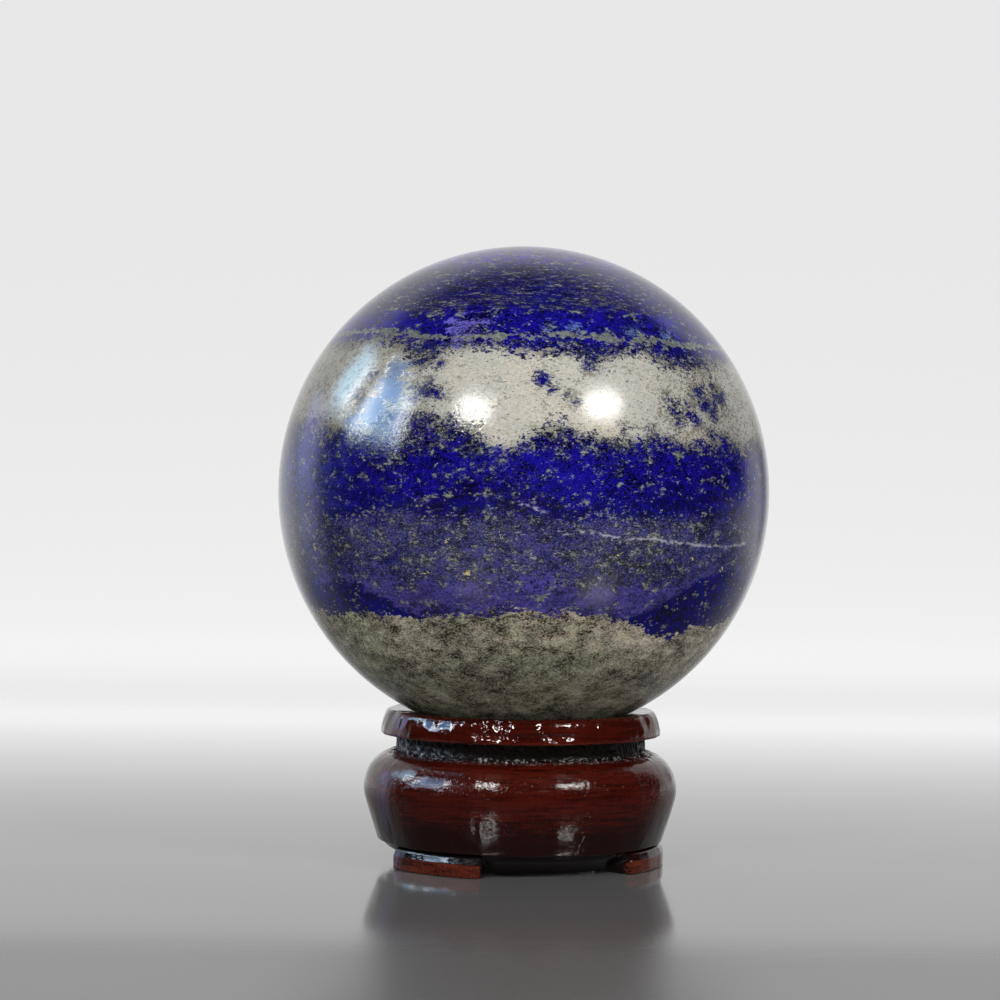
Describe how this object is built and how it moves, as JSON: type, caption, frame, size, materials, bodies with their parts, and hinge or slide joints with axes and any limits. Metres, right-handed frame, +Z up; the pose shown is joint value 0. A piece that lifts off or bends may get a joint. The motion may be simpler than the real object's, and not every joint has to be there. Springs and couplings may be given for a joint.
{
  "type": "decorative sphere",
  "caption": "Polished banded blue stone sphere resting on a small turned and lacquered wooden stand with a flared ring, a waisted neck and low arc-shaped feet.",
  "frame": {"origin": "middle of the whole part's footprint at the height of the surface that it stands on, which is the stand's axis under the sphere", "axes": "+Z up along the stand's axis through the middle of the sphere; -Y is the side with the feet that are seen first, and +X is to the right from there"},
  "size_m": [0.075, 0.075, 0.094],
  "materials": {
    "polished_stone": "polished to a high gloss",
    "lacquered_wood": "thick glossy dark red-brown lacquer, black in the grooves"
  },
  "bodies": {
    "root": {"sphere": "polished_stone", "stand": "lacquered_wood"}
  },
  "joints": []
}
